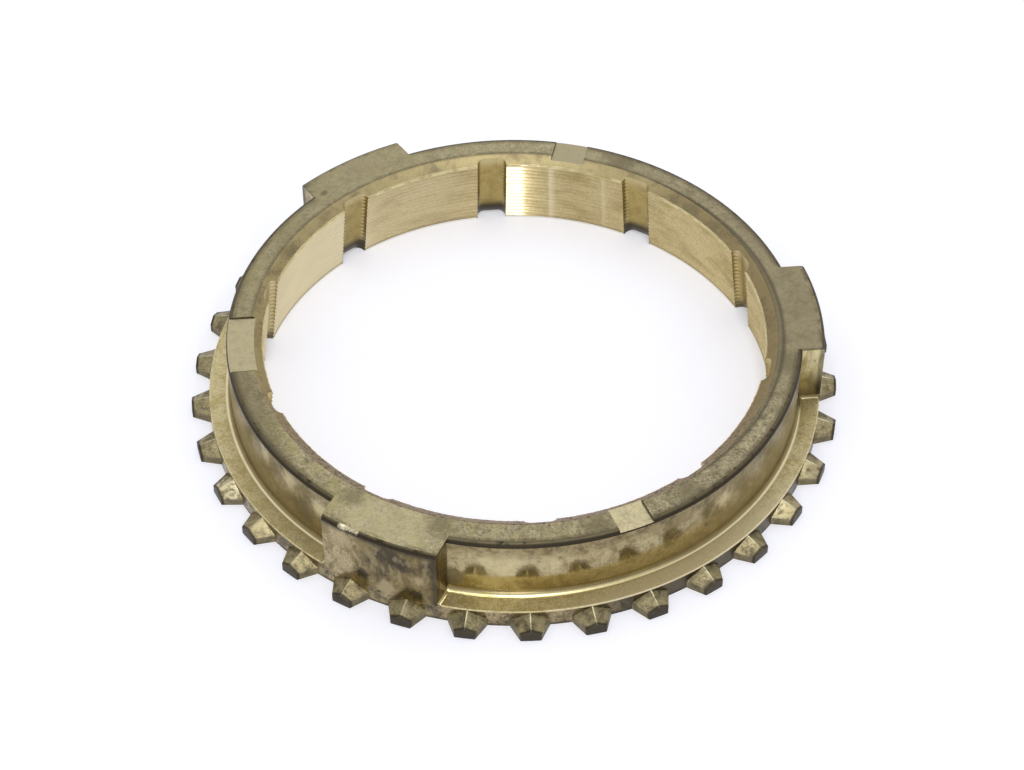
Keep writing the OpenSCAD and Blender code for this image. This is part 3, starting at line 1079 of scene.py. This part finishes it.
def soft_studio():
    """World of even soft light, dimmer on the camera's side, and white where the camera sees it."""
    world = bpy.data.worlds.new("studio")
    world.use_nodes = True
    tree = world.node_tree
    tree.nodes.clear()
    rays = add(tree, "LightPath").outputs
    around = add(tree, "TexCoord").outputs["Generated"]
    front = add(tree, "VectorMath", {0: around, 1: (-0.096, -0.995, 0)}, operation="DOT_PRODUCT")
    value = front.outputs["Value"]
    limits = {"Value": value, "From Min": 0.15, "From Max": 0.8, "To Min": 0.82, "To Max": 0.6}
    level = add(tree, "MapRange", limits, interpolation_type="SMOOTHSTEP").outputs[0]
    level = add(tree, "Math", {0: level, 1: rays["Is Camera Ray"]}, operation="MAXIMUM").outputs[0]
    sky = add(tree, "Background", {"Color": (1, 1, 1), "Strength": level})
    add(tree, "OutputWorld", {"Surface": sky.outputs[0]})
    return world


def lamp(scene, name, size, watts, way):
    """Adds a round lamp in a direction from the ring, turned towards it."""
    light = bpy.data.lights.new(name, "AREA")
    light.shape = "DISK"
    light.size = size
    light.energy = watts
    holder = bpy.data.objects.new(name, light)
    way = Vector(way).normalized()
    holder.location = way * LAMP_DISTANCE
    holder.rotation_euler = way.to_track_quat("Z", "Y").to_euler()
    scene.collection.objects.link(holder)


# Metres from the ring to the lamps
LAMP_DISTANCE = 0.8
# Half the floor's side in metres, and how far it lies below the ring, so that the two faces don't meet
FLOOR_SIZE = 2
FLOOR_DROP = 0.01 * MM


class MakeStage(bpy.types.Operator):
    """Builds the floor, the soft light and the camera"""

    bl_idname = "synchro.make_stage"
    bl_label = "Make stage"

    def execute(self, context):
        scene = context.scene
        scene.view_settings.view_transform = "Standard"
        bm = bmesh.new()
        bmesh.ops.create_grid(bm, x_segments=1, y_segments=1, size=FLOOR_SIZE)
        bmesh.ops.translate(bm, vec=(0, 0, -FLOOR_DROP), verts=bm.verts)
        mesh = bpy.data.meshes.new("floor")
        bm.to_mesh(mesh)
        bm.free()
        mesh.materials.append(white_paper())
        floor = bpy.data.objects.new("floor", mesh)
        scene.collection.objects.link(floor)
        scene.world = soft_studio()
        key_height = math.radians(74)
        lamp(scene, "key", 0.13, 1.25, (0, -math.cos(key_height), math.sin(key_height)))
        lamp(scene, "small lamp", 0.1, 0.75, (-0.1, -0.95, 0.3))
        data = bpy.data.cameras.new("camera")
        data.lens = 89.0175
        data.sensor_width = 36
        camera = bpy.data.objects.new("camera", data)
        camera.location = (-0.0179946, -0.1855230, 0.1936553)
        camera.rotation_euler = Euler([math.radians(d) for d in (43.98112, -0.0321, -5.43074)])
        scene.collection.objects.link(camera)
        scene.camera = camera
        return {"FINISHED"}


class RingPanel(bpy.types.Panel):
    bl_idname = "VIEW3D_PT_synchro_ring"
    bl_label = "Synchronizer ring"
    bl_space_type = "VIEW_3D"
    bl_region_type = "UI"
    bl_category = "Ring"

    def draw(self, context):
        for group in (context.scene.synchro_sizes, context.scene.synchro_colours):
            for name in group.__annotations__:
                self.layout.prop(group, name)
        self.layout.operator(MakeRing.bl_idname)
        self.layout.operator(MakeStage.bl_idname)


CLASSES = (RingSizes, RingColours, MakeRing, MakeStage, RingPanel)


def register():
    for cls in CLASSES:
        bpy.utils.register_class(cls)
    bpy.types.Scene.synchro_sizes = PointerProperty(type=RingSizes)
    bpy.types.Scene.synchro_colours = PointerProperty(type=RingColours)


def unregister():
    del bpy.types.Scene.synchro_sizes
    del bpy.types.Scene.synchro_colours
    for cls in reversed(CLASSES):
        bpy.utils.unregister_class(cls)


def main():
    register()
    bpy.ops.synchro.make_ring()
    bpy.ops.synchro.make_stage()


if __name__ == "__main__":
    main()
